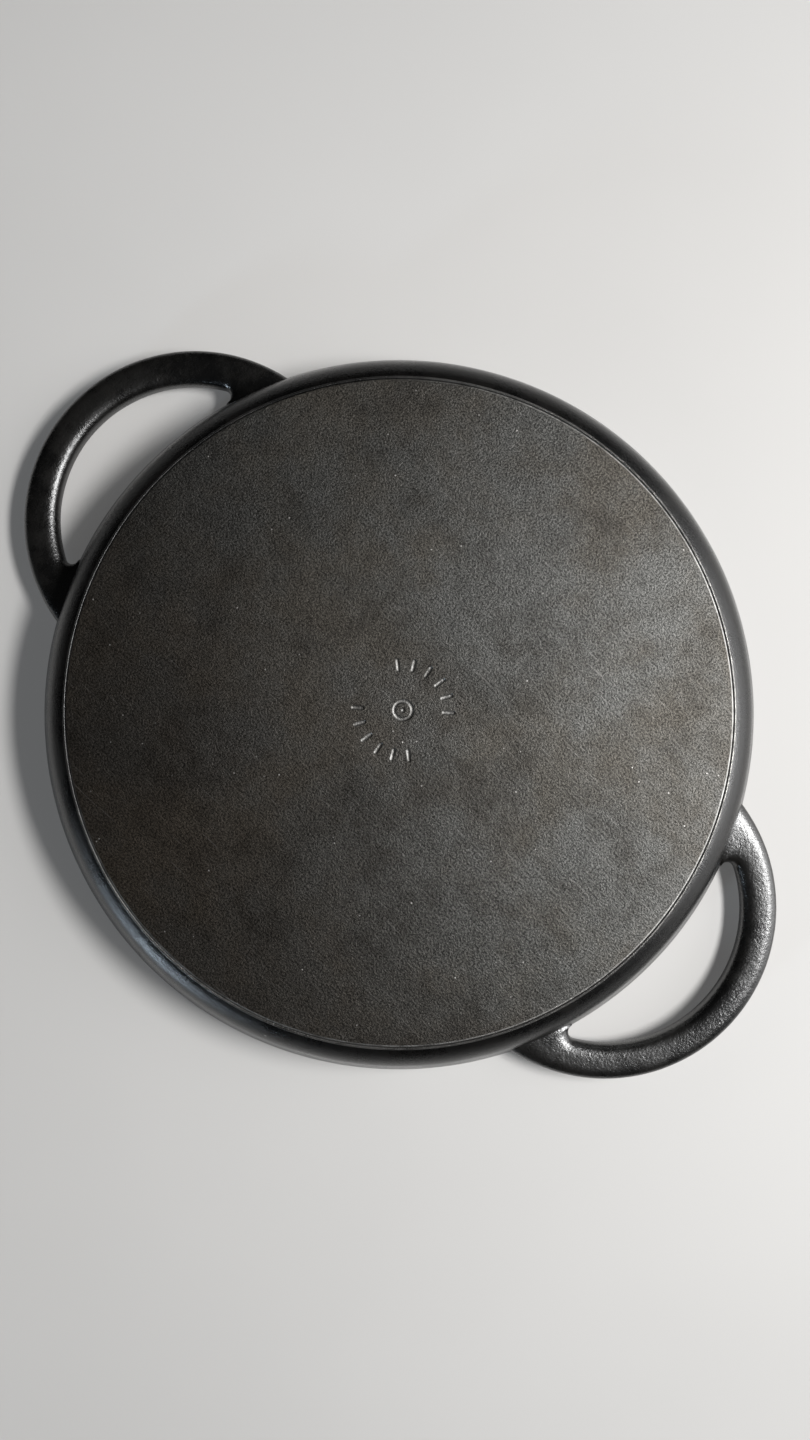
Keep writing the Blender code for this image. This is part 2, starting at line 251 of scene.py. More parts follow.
class StudioSettings(PropertyGroup):
    """Floor, lamps and camera."""

    floor_colour: colour("Floor colour", "Colour of the plain floor", (0.475, 0.466, 0.453))
    floor_glow: amount("Floor glow", "Lift of the floor near the pan, as the camera sees it", 0.092)
    far_glow: amount("Far glow", "Lift of the far floor, as it is seen", 0.46)
    backdrop: amount("Backdrop", "Brightness of the backdrop, as it is seen", 0.56)
    glow_start: length("Glow start", "How far from the pan the floor's lift starts to grow", 0.35)
    glow_end: length("Glow end", "How far from the pan the floor's lift is that of the far floor",
                     1.3)
    floor_radius: length("Floor radius", "How far the floor reaches", 30.0)
    floor_gap: length("Floor gap", "How far the floor lies below the pan's lowest plane", 0.0001)
    key_power: amount("Key power", "Power of the main lamp, in watts", 12.2)
    key_azimuth: angle("Key azimuth", "Direction of the main lamp", math.radians(43))
    key_reach: length("Key reach", "How far to the side the main lamp stands", 0.61)
    key_height: length("Key height", "How high the main lamp stands", 0.77)
    key_width: length("Key width", "How wide the main lamp is", 0.52)
    key_tall: length("Key tall", "How tall the main lamp is", 0.17)
    side_strength: amount("Side strength", "Strength of the low window light", 0.90)
    side_colour: colour("Side colour", "Colour of the low window light", (0.72, 0.86, 1.0))
    side_azimuth: angle("Side azimuth", "Direction of the low window light", math.radians(266))
    side_elevation: angle("Side elevation", "Height of the low window light", math.radians(9))
    side_spread: angle("Side spread", "How soft the window light is", math.radians(5))
    sky_high: colour("Sky high", "Light of the room overhead", (0.020, 0.020, 0.020))
    sky_low: colour("Sky low", "Light of the room all round", (0.005, 0.005, 0.005))
    window_strength: amount("Window strength", "Strength of the broad window", 3.3)
    window_azimuth: angle("Window azimuth", "Direction of the broad window", math.radians(43))
    window_elevation: angle("Window elevation", "Height of the broad window", math.radians(20))
    window_spread: angle("Window spread", "How far the window's light reaches", math.radians(38))
    camera_place: FloatVectorProperty(
        name="Camera place", description="Where the camera stands", size=3,
        default=(0.0055, -0.0093, 0.460), unit="LENGTH", subtype="TRANSLATION")
    camera_turn: FloatVectorProperty(
        name="Camera turn", description="How the camera is turned from looking straight down",
        size=3, unit="ROTATION", subtype="EULER",
        default=(math.radians(0.94), math.radians(0.35), math.radians(43.27)))
    focal_length: amount("Focal length", "Focal length of the camera, in millimetres", 27.075)
    lens_shift: amount("Lens shift", "How far the view is shifted to the side", 0.0131)


class GrillPanSettings(PropertyGroup):
    """All settings of the pan and its studio."""

    body: PointerProperty(type=BodySizes, name="Body")
    handle: PointerProperty(type=HandleSizes, name="Handle")
    rib: PointerProperty(type=RibSizes, name="Ribs")
    mark: PointerProperty(type=MarkSizes, name="Mark")
    iron: PointerProperty(type=IronColours, name="Iron")
    studio: PointerProperty(type=StudioSettings, name="Studio")


# Working in edit mode

def leave_all():
    """Go back to object mode with nothing selected, so that an operator acts on new work only."""
    if bpy.context.object and bpy.context.object.mode != "OBJECT":
        bpy.ops.object.mode_set(mode="OBJECT")
    bpy.ops.object.select_all(action="DESELECT")


def take_up(piece):
    """Make a piece the only selected one, and the active one."""
    leave_all()
    piece.select_set(True)
    bpy.context.view_layer.objects.active = piece


def begin_edit(name):
    """Name the primitive that was just added, put its place in its mesh and start to edit it."""
    piece = bpy.context.object
    piece.name = name
    piece.data.name = name
    bpy.ops.object.transform_apply(location=True, rotation=True, scale=True)
    bpy.ops.object.mode_set(mode="EDIT")
    bpy.ops.mesh.select_all(action="SELECT")
    return piece


def pick(piece, kind, wanted):
    """Select the vertices or edges that pass a test, and nothing else."""
    bpy.ops.mesh.select_mode(type=kind)
    bpy.ops.mesh.select_all(action="DESELECT")
    shape = bmesh.from_edit_mesh(piece.data)
    for part in shape.verts if kind == "VERT" else shape.edges:
        if wanted(part):
            part.select_set(True)
    bmesh.update_edit_mesh(piece.data)


def move_points(piece, new_place):
    """Move every vertex of the piece in edit mode to the place that a function gives for it."""
    shape = bmesh.from_edit_mesh(piece.data)
    shape.normal_update()
    places = [new_place(vertex) for vertex in shape.verts]
    for vertex, place in zip(shape.verts, places):
        vertex.co = place
    bmesh.update_edit_mesh(piece.data)


def merge_all():
    """Select the whole piece in edit mode and merge its doubles."""
    bpy.ops.mesh.select_all(action="SELECT")
    bpy.ops.mesh.remove_doubles(threshold=MERGE_DISTANCE)


def close_shape():
    """Merge doubles and turn all faces outwards, then leave edit mode."""
    bpy.ops.mesh.select_mode(type="VERT")
    merge_all()
    bpy.ops.mesh.normals_make_consistent(inside=False)
    bpy.ops.object.mode_set(mode="OBJECT")


def copy_of(piece, name):
    """A copy of a piece that has a mesh of its own."""
    take_up(piece)
    bpy.ops.object.duplicate(linked=False)
    copy = bpy.context.object
    copy.name = name
    copy.data.name = name
    return copy


def apply_all(piece):
    """Apply the modifiers of a piece in their order."""
    take_up(piece)
    for modifier in list(piece.modifiers):
        bpy.ops.object.modifier_apply(modifier=modifier.name)


def shade(piece):
    """Shade a piece smooth, with its real edges kept sharp."""
    take_up(piece)
    bpy.ops.object.shade_smooth_by_angle(angle=SHARP_ANGLE)
    leave_all()


def swell(piece, name, size, height, depth=1):
    """Give a piece the faint uneven waves of cast metal."""
    waves = bpy.data.textures.get(name) or bpy.data.textures.new(name, "CLOUDS")
    waves.noise_scale = size
    waves.noise_depth = depth
    push = piece.modifiers.new(name, "DISPLACE")
    push.texture = waves
    push.texture_coords = "LOCAL"
    push.strength = height
    push.mid_level = 0.5
    apply_all(piece)


def finish_piece(piece, nodes, materials):
    """Shade a piece, give it its materials and let it stand for its nodes on the pan's body."""
    shade(piece)
    piece.data.materials.clear()
    for material in materials:
        piece.data.materials.append(material)
    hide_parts(*nodes)
    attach(piece, "root")


def use_second_material(piece, wanted):
    """Give the faces that pass a test the second material."""
    for face in piece.data.polygons:
        if wanted(face):
            face.material_index = 1


class Pen:
    """Draws a section in the plane of X and Z with one vertex, by extrusion and spin."""

    def __init__(self, name, x, z):
        leave_all()
        bpy.ops.mesh.primitive_plane_add()
        self.piece = begin_edit(name)
        bpy.ops.mesh.merge(type="CENTER")
        bpy.ops.transform.translate(value=(x, 0.0, z))
        self.place = Vector((x, z))

    def line(self, x, z, steps=1):
        """Draw a straight line to a point."""
        step = (Vector((x, z)) - self.place) / steps
        for _ in range(steps):
            bpy.ops.mesh.extrude_vertices_move(
                TRANSFORM_OT_translate={"value": (step.x, 0.0, step.y)})
        self.place = Vector((x, z))

    def arc(self, centre, turn, step=ARC_STEP):
        """Draw an arc round a centre. A turn above zero goes from X towards Z."""
        steps = max(3, round(abs(turn) / step))
        bpy.ops.mesh.spin(
            steps=steps, angle=turn, center=(centre.x, 0.0, centre.y), axis=(0.0, 1.0, 0.0))
        self.place = centre + Matrix.Rotation(turn, 2) @ (self.place - centre)


# Shape of the wall's section

def shoulder_centre(body):
    """Centre of the rounding between the underside and the wall."""
    foot = Vector((body.bead_radius + body.bead_width / 2, body.height - body.bead_height))
    slope = body.shoulder_start
    return foot - Vector((math.sin(slope), math.cos(slope))) * body.shoulder_radius


def rim_centre(body):
    """Centre of the rounding of the rim's outer edge."""
    return Vector((body.rim_radius - body.rim_outer_round, body.rim_outer_round))


def wall_facing(body):
    """The direction that the wall's outer side faces: it is a tangent of shoulder and rim."""
    down = rim_centre(body) - shoulder_centre(body)
    lean = math.acos((body.shoulder_radius - body.rim_outer_round) / down.length)
    turn = math.atan2(down.y, down.x) + lean
    return Vector((math.cos(turn), math.sin(turn)))


def outside_distance(body, point):
    """How far a point lies outside the wall's outer side."""
    facing = wall_facing(body)
    start = shoulder_centre(body) + facing * body.shoulder_radius
    return (Vector((point.xy.length, point.z)) - start).dot(facing)


def centre_beside_inner_wall(body, z, distance):
    """The point at a height that lies a distance from the inner wall, towards the iron."""
    facing = wall_facing(body)
    start = shoulder_centre(body) + facing * (body.shoulder_radius - body.wall_thickness)
    return Vector((start.x + (distance - (z - start.y) * facing.y) / facing.x, z))


def corner_centre(body):
    """Centre of the rounding between the cooking face and the inner wall."""
    return centre_beside_inner_wall(
        body, body.face_height - body.corner_radius, -body.corner_radius)


def corner_height(body, radius):
    """Height of the rounded corner at a distance from the axis."""
    centre = corner_centre(body)
    across = max(0.0, radius - centre.x)
    return centre.y + math.sqrt(body.corner_radius ** 2 - across ** 2)


# Floor

def ring_out(radius_now, radius, rise):
    """Extrude the picked ring of edges to a new radius and height."""
    bpy.ops.mesh.extrude_edges_move(TRANSFORM_OT_translate={"value": (0.0, 0.0, rise)})
    share = radius / radius_now
    bpy.ops.transform.resize(value=(share, share, 1.0), center_override=(0.0, 0.0, 0.0))


def floor_edge(body):
    """Radius and height of each ring round the floor's edge, from underside to cooking face."""
    edge_turn = math.asin(body.edge_run / body.edge_round)
    rings = []
    for step in range(EDGE_STEPS + 1):
        turn = edge_turn * step / EDGE_STEPS
        radius = body.seam_radius - body.edge_run + body.edge_round * math.sin(turn)
        rings.append((radius, body.height - body.edge_round * (1 - math.cos(turn))))
    lip_width = body.seam_radius - corner_centre(body).x
    for ring in range(LIP_RINGS + 1):
        radius = body.seam_radius - lip_width * ring / LIP_RINGS
        rings.append((radius, corner_height(body, radius)))
    return rings


def model_floor(body):
    """The round floor: gridded faces above and below, with a stepped edge between them."""
    rings = floor_edge(body)
    radius, z = rings[0]
    leave_all()
    bpy.ops.mesh.primitive_circle_add(
        vertices=FLOOR_EDGE_POINTS, radius=radius, fill_type="NOTHING", location=(0, 0, z))
    piece = begin_edit("pan_underside")
    bpy.ops.mesh.fill_grid(span=FLOOR_EDGE_POINTS // 4)
    pick(piece, "EDGE", lambda edge: edge.is_boundary)
    for next_radius, next_z in rings[1:]:
        ring_out(radius, next_radius, next_z - z)
        radius, z = next_radius, next_z
    bpy.ops.mesh.fill_grid(span=FLOOR_EDGE_POINTS // 4)
    close_shape()
    swell(piece, "casting_swell", body.swell_size, body.swell_height)
    swell(piece, "casting_grain", body.grain_size, body.grain_height, depth=2)
    return piece


# Mark that is sunk into the underside

def add_stroke_section(name, x, fill, mark):
    """Start a cutter: the oval section of a stroke, upright in the plane of X and Z."""
    leave_all()
    bpy.ops.mesh.primitive_circle_add(
        vertices=16, radius=mark.stroke_width / 2, fill_type=fill,
        location=(x, 0.0, 0.0), rotation=(math.pi / 2, 0.0, 0.0))
    piece = begin_edit(name)
    bpy.ops.transform.resize(
        value=(1.0, 1.0, 2 * mark.depth / mark.stroke_width), center_override=(0.0, 0.0, 0.0))
    return piece


def model_bar(mark):
    """A straight stroke along Y, centred on the origin, whose ends are rounded in five rings."""
    piece = add_stroke_section("mark_bar", 0.0, "NGON", mark)
    half = mark.stroke_width / 2
    turns = [math.radians(10 + 20 * step) for step in range(5)]
    rings = [(half * (1 - math.cos(turn)), math.sin(turn)) for turn in turns]
    rings += [(mark.bar_length - along, size) for along, size in reversed(rings)]
    along_now, size_now = rings[0]
    start = along_now - mark.bar_length / 2
    bpy.ops.transform.translate(value=(0.0, start, 0.0))
    bpy.ops.transform.resize(value=(size_now,) * 3, center_override=(0.0, start, 0.0))
    for along, size in rings[1:]:
        bpy.ops.mesh.extrude_region_move(
            TRANSFORM_OT_translate={"value": (0.0, along - along_now, 0.0)})
        bpy.ops.transform.resize(
            value=(size / size_now, 1.0, size / size_now), center_override=(0.0, 0.0, 0.0))
        along_now, size_now = along, size
    close_shape()
    return piece


def model_eye(mark):
    """The small ring in the middle of the mark, with a round dot inside it."""
    ring = add_stroke_section("mark_eye", mark.eye_radius, "NOTHING", mark)
    bpy.ops.mesh.spin(steps=48, angle=math.tau, center=(0, 0, 0), axis=(0, 0, 1))
    bpy.ops.mesh.primitive_uv_sphere_add(
        segments=24, ring_count=12, radius=mark.stroke_width * 0.6, location=(0, 0, 0))
    close_shape()
    return ring


def model_mark(mark, height):
    """The cutter for the whole mark: two arcs of bars round a small ring."""
    bar = model_bar(mark)
    parts = [model_eye(mark)]
    for side in (0.0, math.pi):
        for number in range(mark.bars):
            turn = side + (number - (mark.bars - 1) / 2) * mark.bar_pitch
            copy = copy_of(bar, "mark_bar_copy")
            outward = Matrix.Translation((0.0, mark.ring_radius, 0.0))
            copy.data.transform(Matrix.Rotation(turn, 4, "Z") @ outward)
            parts.append(copy)
    bpy.data.objects.remove(bar)
    take_up(parts[0])
    for part in parts:
        part.select_set(True)
    bpy.ops.object.join()
    cutter = bpy.context.object
    cutter.data.transform(Matrix.Translation((mark.centre_x, mark.centre_y, height)))
    return cutter


def sink_mark(piece, cutter):
    """Cut the mark out of the underside, and remove the cutter."""
    cut = piece.modifiers.new("mark", "BOOLEAN")
    cut.operation = "DIFFERENCE"
    cut.solver = "MANIFOLD"
    cut.object = cutter
    faces_before = len(piece.data.polygons)
    apply_all(piece)
    bpy.data.objects.remove(cutter)
    if len(piece.data.polygons) <= faces_before:
        raise RuntimeError("the mark was not cut into the underside")


# Side wall

def draw_wall_section(body):
    """The closed section of the side wall, clockwise from the seam in the groove."""
    inner = body.bead_radius - body.bead_width / 2
    outer = body.bead_radius + body.bead_width / 2
    groove_floor = body.height - body.groove_depth
    crest = body.height - body.bead_round
    facing = wall_facing(body)
    lean = math.atan2(facing.y, facing.x)
    rim = rim_centre(body)
    wall_end = rim + facing * body.rim_outer_round
    inner_rim = centre_beside_inner_wall(body, body.rim_inner_round, body.rim_inner_round)
    corner = corner_centre(body)
    corner_start = corner + facing * body.corner_radius
    seam_turn = math.acos((body.seam_radius - corner.x) / body.corner_radius) - lean
    seam_height = floor_edge(body)[EDGE_STEPS][1]
    pen = Pen("flared_wall", body.seam_radius, seam_height)
    pen.line(inner, groove_floor)
    pen.line(inner, crest)
    pen.arc(Vector((inner + body.bead_round, crest)), -math.pi / 2)
    pen.line(outer - body.bead_round, body.height)
    pen.arc(Vector((outer - body.bead_round, crest)), -math.pi / 2)
    pen.line(outer, body.height - body.bead_height)
    pen.arc(shoulder_centre(body), lean + body.shoulder_start - math.pi / 2, SHOULDER_STEP)
    pen.line(wall_end.x, wall_end.y, steps=WALL_STEPS)
    pen.arc(rim, -math.pi / 2 - lean)
    pen.line(inner_rim.x, 0.0)
    pen.arc(inner_rim, lean - math.pi / 2)
    pen.line(corner_start.x, corner_start.y, steps=WALL_STEPS)
    pen.arc(corner, seam_turn)
    pen.line(body.seam_radius, seam_height)
    return pen.piece


def rippled(vertex, body):
    """Where a vertex of the shoulder goes, so that faint uneven rings run round the pan."""
    foot = body.bead_radius + body.bead_width / 2
    out = vertex.co.xy.length - foot
    reach = 2 * body.ripple_length
    if vertex.normal.z < 0.3 or not 0.0 < out < reach:
        return vertex.co.copy()
    turn = math.atan2(vertex.co.y, vertex.co.x)
    wave = math.sin(math.tau * out / body.ripple_length + 0.7 * math.sin(2 * turn))
    fade = math.sin(math.pi * out / reach) * (0.75 + 0.25 * math.sin(3 * turn + 1.0))
    return vertex.co + vertex.normal * wave * fade * body.ripple_height / 2


def model_wall(body):
    """The side wall, turned once round the axis from its section."""
    piece = draw_wall_section(body)
    merge_all()
    bpy.ops.mesh.spin(
        steps=TURN_STEPS, angle=math.tau, center=(0.0, 0.0, 0.0), axis=(0.0, 0.0, 1.0))
    merge_all()
    bpy.ops.mesh.normals_make_consistent(inside=False)
    move_points(piece, lambda vertex: rippled(vertex, body))
    close_shape()
    swell(piece, "casting_swell", body.swell_size, body.swell_height)
    return piece


# Loop handles

def circles_meet(radius, other_radius, other_x):
    """The point at +Y where a circle round the axis meets one whose centre is on +X."""
    x = (radius ** 2 - other_radius ** 2 + other_x ** 2) / (2 * other_x)
    return Vector((x, math.sqrt(radius ** 2 - x ** 2)))


def on_circle(centre_x, radius, turn):
    """The point at an angle on a circle whose centre is on +X."""
    return Vector((centre_x + radius * math.cos(turn), radius * math.sin(turn)))


def ray_to_circle(start_x, turn, centre_x, radius):
    """The point where a ray from a place on +X meets a circle round another place on +X."""
    offset = start_x - centre_x
    reach = math.sqrt(radius ** 2 - (offset * math.sin(turn)) ** 2) - offset * math.cos(turn)
    return on_circle(start_x, reach, turn)


def half_loop(body, handle):
    """Inner and outer edge points of the loop, from its tip to its root in the wall at +Y."""
    outer_x = handle.tip - handle.outer_arc
    gap_x = handle.tip - handle.width - handle.gap_arc
    middle = Vector((0.0, 0.0, handle.bottom + handle.thickness / 2))
    wall_radius = -outside_distance(body, middle) / wall_facing(body).x
    corner = circles_meet(
        wall_radius + handle.gap_corner, handle.gap_arc - handle.gap_corner, gap_x)
    root_radius = wall_radius - 2 * handle.root_depth
    root = circles_meet(root_radius, handle.outer_arc, outer_x)
    grip_end = math.atan2(corner.y, corner.x - gap_x)
    pairs = []
    for station in range(GRIP_STATIONS + 1):
        turn = grip_end * station / GRIP_STATIONS
        outer = ray_to_circle(gap_x, turn, outer_x, handle.outer_arc)
        pairs.append((on_circle(gap_x, handle.gap_arc, turn), outer))
    inner_end, outer_end = pairs[-1]
    spoke = inner_end - corner
    corner_turn = math.pi + math.atan2(corner.y, corner.x) - math.atan2(spoke.y, spoke.x)
    start_turn = math.atan2(outer_end.y, outer_end.x - outer_x)
    root_turn = math.atan2(root.y, root.x - outer_x)
    last = CORNER_STATIONS + ROOT_STATIONS
    for station in range(1, last + 1):
        turn = start_turn + (root_turn - start_turn) * station / last
        outer = on_circle(outer_x, handle.outer_arc, turn)
        if station <= CORNER_STATIONS:
            share = station / CORNER_STATIONS
            inner = corner + Matrix.Rotation(corner_turn * share, 2) @ spoke
        else:
            share = (station - CORNER_STATIONS) / ROOT_STATIONS
            inner = corner.normalized() * (wall_radius + (root_radius - wall_radius) * share)
        pairs.append((inner, outer))
    return pairs


def loop_stations(body, handle):
    """Edge points of the whole loop, from root to root."""
    half = half_loop(body, handle)
    flip = Vector((1, -1))
    return [(inner * flip, outer * flip) for inner, outer in half[:0:-1]] + half


def squared(part):
    """A circle's coordinate moved out to that of a squarer round."""
    return math.copysign(abs(part) ** (2 / SECTION_SQUARENESS), part)


def on_loop(vertex, stations, handle):
    """Where a vertex of the straight bar goes: X is across the loop, Y up and Z along it."""
    inner, outer = stations[round(vertex.co.z)]
    across = (1 + squared(vertex.co.x)) / 2
    up = (1 + squared(vertex.co.y)) / 2
    place = inner.lerp(outer, across)
    z = handle.bottom + (handle.thickness - handle.inner_fall * (1 - across)) * up
    return Vector((place.x, place.y, z))


def flared_root(vertex, body, handle):
    """Where a vertex near the wall goes, so that the top runs up the wall in a fillet."""
    gap = outside_distance(body, vertex.co)
    fillet = handle.root_fillet
    if gap >= fillet:
        return vertex.co.copy()
    rest = fillet - max(0.0, gap)
    growth = fillet - math.sqrt(fillet ** 2 - rest ** 2)
    return vertex.co + vertex.normal * growth * max(0.0, vertex.normal.z)


def kept_in_wall(vertex, body, handle):
    """Where a vertex inside the wall goes, so that the root doesn't show inside the pan."""
    gap = outside_distance(body, vertex.co)
    if gap >= -handle.root_depth:
        return vertex.co.copy()
    facing = wall_facing(body)
    away = vertex.co.xy.normalized() * facing.x
    return vertex.co - Vector((away.x, away.y, facing.y)) * (gap + handle.root_depth)


def model_handle(body, handle):
    """The loop at +X: a straight bar, then bent round its stations and flared into the wall."""
    stations = loop_stations(body, handle)
    leave_all()
    bpy.ops.mesh.primitive_circle_add(vertices=SECTION_POINTS, radius=1.0, fill_type="NGON")
    piece = begin_edit("loop_handle_right")
    for _ in stations[1:]:
        bpy.ops.mesh.extrude_region_move(TRANSFORM_OT_translate={"value": (0.0, 0.0, 1.0)})
    move_points(piece, lambda vertex: on_loop(vertex, stations, handle))
    bpy.ops.mesh.select_all(action="SELECT")
    bpy.ops.mesh.normals_make_consistent(inside=False)
    move_points(piece, lambda vertex: flared_root(vertex, body, handle))
    move_points(piece, lambda vertex: kept_in_wall(vertex, body, handle))
    close_shape()
    return piece


def other_handle(piece):
    """The handle at -X: a copy that is turned half round the pan's axis."""
    copy = copy_of(piece, "loop_handle_left")
    copy.data.transform(Matrix.Rotation(math.pi, 4, "Z"))
    return copy


# Ribs

def rib_rings(body, rib):
    """Height, half width and shortening of each ring of a rib, from its root to its crown."""
    top = body.face_height
    crown = RIB_LOW.z
    lean = math.atan2((rib.root_width - rib.crown_width) / 2, top - crown)
    run = 1 / math.tan(rib.end_slope)
    rings = [(top + rib.root_depth, rib.root_width / 2 + rib.root_fillet, -rib.root_fillet)]
    for step in range(RIB_ROUND_STEPS + 1):
        turn = math.pi / 2 * (1 + step / RIB_ROUND_STEPS)
        drop = rib.root_fillet * (1 - math.sin(turn))
        out = rib.root_fillet * (1 + math.cos(turn))
        half = rib.root_width / 2 - drop * math.tan(lean) + out
        rings.append((top - drop, half, drop * run - out))
    round_x = rib.crown_width / 2 + rib.crown_round * (math.tan(lean) - 1 / math.cos(lean))
    for step in range(RIB_ROUND_STEPS + 1):
        turn = lean + (math.pi / 2 - lean) * step / RIB_ROUND_STEPS
        z = crown + rib.crown_round * (1 - math.sin(turn))
        half = round_x + rib.crown_round * math.cos(turn)
        flank = rib.root_width / 2 - (top - z) * math.tan(lean)
        rings.append((z, half, (top - z) * run + flank - half))
    return rings


def model_rib(body, rib, half_length):
    """A rib on the middle line: a rounded outline, drawn down ring by ring to its crown."""
    rings = rib_rings(body, rib)
    z, half, shortening = rings[0]
    reach = half_length - shortening
    leave_all()
    bpy.ops.mesh.primitive_grid_add(
        x_subdivisions=2, y_subdivisions=RIB_LENGTH_STEPS, size=2.0, location=(0, 0, z))
    piece = begin_edit("grill_bar")
    bpy.ops.transform.resize(value=(half, reach, 1.0), center_override=(0.0, 0.0, z))
    pick(piece, "VERT", lambda vertex: len(vertex.link_edges) == 2)
    bpy.ops.mesh.bevel(offset=rib.end_round, segments=6, affect="VERTICES")
    bpy.ops.mesh.select_all(action="SELECT")
    for next_z, next_half, next_shortening in rings[1:]:
        next_reach = half_length - next_shortening
        bpy.ops.mesh.extrude_region_move(
            TRANSFORM_OT_translate={"value": (0.0, 0.0, next_z - z)})
        bpy.ops.transform.resize(
            value=(next_half / half, next_reach / reach, 1.0), center_override=(0.0, 0.0, next_z))
        z, half, reach = next_z, next_half, next_reach
    close_shape()
    return piece


def copy_rib(model, node, model_half_length):
    """A copy of the rib at its node, with its ends moved to the node's length."""
    low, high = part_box(node)
    piece = copy_of(model, node.replace("grill_rib", "grill_bar"))
    middle_now = model_half_length - RIB_END_ZONE
    middle = high.y - RIB_END_ZONE
    for vertex in piece.data.vertices:
        if abs(vertex.co.y) < middle_now:
            vertex.co.y *= middle / middle_now
        else:
            vertex.co.y += math.copysign(1.0, vertex.co.y) * (middle - middle_now)
    piece.data.transform(Matrix.Translation(((low.x + high.x) / 2, 0.0, 0.0)))
    return piece


# Building materials

def add_node(tree, kind, feeds=None, **settings):
    """Add a node, set its properties, and feed its inputs with sockets or plain values."""
    node = tree.nodes.new(kind)
    for name, value in settings.items():
        setattr(node, name, value)
    for name, source in (feeds or {}).items():
        if isinstance(source, bpy.types.NodeSocket):
            tree.links.new(source, node.inputs[name])
        else:
            node.inputs[name].default_value = source
    return node


def work_out(tree, operation, first, second=0.0):
    """A Math node's result."""
    return add_node(tree, "ShaderNodeMath", {0: first, 1: second}, operation=operation).outputs[0]


def remap(tree, value, low, high, new_low=0.0, new_high=1.0):
    """A value moved smoothly from one range to another, and kept inside it."""
    feeds = {0: value, 1: low, 2: high, 3: new_low, 4: new_high}
    return add_node(
        tree, "ShaderNodeMapRange", feeds, interpolation_type="SMOOTHSTEP").outputs["Result"]


def mix(tree, share, first, second, way="MIX"):
    """Two colours mixed."""
    feeds = {0: share, 6: first, 7: second}
    return add_node(tree, "ShaderNodeMix", feeds, data_type="RGBA", blend_type=way).outputs[2]


def noise(tree, place, scale, detail=2.0, roughness=0.5):
    """A noise pattern, with its scale in cells to a metre."""
    feeds = {"Vector": place, "Scale": scale, "Detail": detail, "Roughness": roughness}
    return add_node(tree, "ShaderNodeTexNoise", feeds).outputs["Fac"]


def mapped(tree, place, turn=(0.0, 0.0, 0.0), scale=(1.0, 1.0, 1.0), shift=(0.0, 0.0, 0.0)):
    """Coordinates that are turned, scaled and shifted."""
    feeds = {"Vector": place, "Rotation": turn, "Scale": scale, "Location": shift}
    return add_node(tree, "ShaderNodeMapping", feeds).outputs["Vector"]


def opaque(rgb):
    """A colour with its fourth number."""
    return (rgb[0], rgb[1], rgb[2], 1.0)


def new_group(name, inputs, outputs):
    """A node group with its sockets. Returns the tree, what comes in and where results go."""
    tree = bpy.data.node_groups.new(name, "ShaderNodeTree")
    for label, kind in inputs.items():
        tree.interface.new_socket(name=label, in_out="INPUT", socket_type=f"NodeSocket{kind}")
    for label, kind in outputs.items():
        tree.interface.new_socket(name=label, in_out="OUTPUT", socket_type=f"NodeSocket{kind}")
    entry = tree.nodes.new("NodeGroupInput")
    leave = tree.nodes.new("NodeGroupOutput")
    return tree, entry.outputs, leave.inputs


def cast_grain_group():
    """Fine pebbled grain of a sand casting: its height, and how light each grain is."""
    tree, given, result = new_group(
        "Cast Grain", {"Vector": "Vector", "Scale": "Float"}, {"Height": "Float", "Tone": "Float"})
    grains = noise(tree, given["Vector"], given["Scale"], detail=3.0, roughness=0.68)
    fine = noise(tree, given["Vector"], work_out(tree, "MULTIPLY", given["Scale"], 2.3))
    coarse = noise(tree, given["Vector"], work_out(tree, "MULTIPLY", given["Scale"], 0.3))
    height = work_out(tree, "ADD", grains, work_out(tree, "MULTIPLY", coarse, 0.5))
    tone = work_out(tree, "ADD", remap(tree, grains, 0.3, 0.7), remap(tree, fine, 0.3, 0.7))
    tree.links.new(height, result["Height"])
    tree.links.new(work_out(tree, "MULTIPLY", tone, 0.5), result["Tone"])
    return tree


def seasoning_group():
    """Uneven patches of baked oil: one tone over another, and darker clouds over both."""
    tree, given, result = new_group(
        "Seasoning Patches",
        {"Vector": "Vector", "Scale": "Float", "First": "Color", "Second": "Color",
         "Dark": "Color", "Dark Share": "Float"},
        {"Color": "Color", "Patch": "Float"})
    broad = noise(tree, given["Vector"], given["Scale"], detail=5.0, roughness=0.62)
    clouds = noise(tree, mapped(tree, given["Vector"], shift=(3.1, 1.7, 0.4)),
                   work_out(tree, "MULTIPLY", given["Scale"], 1.9), detail=6.0, roughness=0.66)
    patch = remap(tree, broad, 0.36, 0.62)
    tones = mix(tree, patch, given["First"], given["Second"])
    dark = work_out(tree, "MULTIPLY", remap(tree, clouds, 0.47, 0.70), given["Dark Share"])
    tree.links.new(mix(tree, dark, tones, given["Dark"]), result["Color"])
    tree.links.new(patch, result["Patch"])
    return tree


def scratches_group():
    """Thin broken scratches that run in three directions."""
    tree, given, result = new_group(
        "Fine Scratches", {"Vector": "Vector", "Scale": "Float"}, {"Mask": "Float"})
    total = None
    for turn, fineness, shift in ((0.5, 34.0, 0.0), (1.9, 42.0, 2.0), (2.6, 28.0, 5.0)):
        lines = mapped(tree, given["Vector"], (0, 0, turn), (1.0, fineness, 1.0), (shift, 0, 0))
        line = remap(tree, noise(tree, lines, given["Scale"], 1.0), 0.725, 0.775)
        total = line if total is None else work_out(tree, "MAXIMUM", total, line)
    tree.links.new(total, result["Mask"])
    return tree


